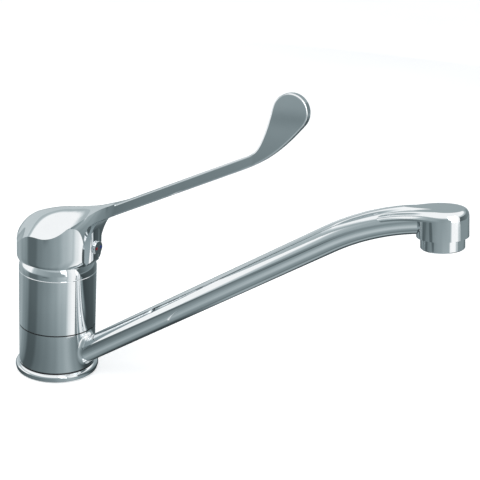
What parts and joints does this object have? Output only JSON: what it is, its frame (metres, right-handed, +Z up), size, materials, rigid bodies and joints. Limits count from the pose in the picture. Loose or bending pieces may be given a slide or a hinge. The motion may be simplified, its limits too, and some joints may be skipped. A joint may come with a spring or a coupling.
{
  "type": "kitchen mixer tap",
  "caption": "Deck-mounted chrome kitchen mixer tap with a long swivelling spout and a long single lever that ends in an upright paddle.",
  "frame": {"origin": "centre of the base on the worktop", "axes": "+Z up, +X along the spout and the lever at rest, +Y to the left of somebody who stands behind the column and looks along the spout"},
  "size_m": [0.2759, 0.0526, 0.2007],
  "materials": {
    "chrome": "polished chrome plating on brass",
    "body_brass": "machined brass",
    "spindle_steel": "plain machined steel",
    "black_rubber": "moulded black rubber",
    "black_plastic": "moulded black plastic",
    "grey_plastic": "moulded grey plastic",
    "ceramic": "lapped white ceramic",
    "hot_red": "gloss red",
    "cold_blue": "gloss blue"
  },
  "bodies": {
    "body": {"mixer_body": "chrome", "base_ring": "chrome", "base_gasket": "black_rubber", "lower_slip_ring": "black_plastic", "upper_slip_ring": "black_plastic", "lower_spout_seal": "black_rubber", "upper_spout_seal": "black_rubber", "cartridge_base": "grey_plastic", "port_seals": "black_rubber", "fixed_disc": "ceramic", "cartridge_housing": "grey_plastic", "cartridge_nut": "body_brass", "dome_cap": "chrome"},
    "spout_body": {"spout_ring": "chrome", "spout_arm": "chrome", "outlet_head": "chrome", "aerator_housing": "chrome", "aerator_insert": "grey_plastic", "aerator_screen": "spindle_steel", "aerator_washer": "black_rubber"},
    "rotor_body": {"cartridge_rotor": "grey_plastic", "pivot_pin": "spindle_steel"},
    "lever_body": {"spindle": "spindle_steel", "lever_handle": "chrome", "grub_screw": "spindle_steel", "index_plug": "chrome", "hot_dot": "hot_red", "cold_dot": "cold_blue"},
    "disc_body": {"moving_disc": "ceramic", "disc_carrier": "grey_plastic"}
  },
  "joints": [
    {"name": "spout_swivel", "type": "hinge", "parent": "body", "child": "spout_body", "pos_m": [0, 0, 0.0181], "axis": [0, 0, 1], "range_deg": [-180, 180]},
    {"name": "lever_turn", "type": "hinge", "parent": "body", "child": "rotor_body", "pos_m": [0, 0, 0.0624], "axis": [0, 0, 1], "range_deg": [-45, 45]},
    {"name": "lever_lift", "type": "hinge", "parent": "rotor_body", "child": "lever_body", "pos_m": [0, 0, 0.0624], "axis": [0, -1, 0], "range_deg": [0, 25]},
    {"name": "disc_slide", "type": "slide", "parent": "rotor_body", "child": "disc_body", "axis": [1, 0, 0], "range_m": [0, 0.00423]}
  ],
  "couplings": [
    {"joint": "disc_slide", "follows": "lever_lift", "m_per_rad": 0.0096857}
  ]
}
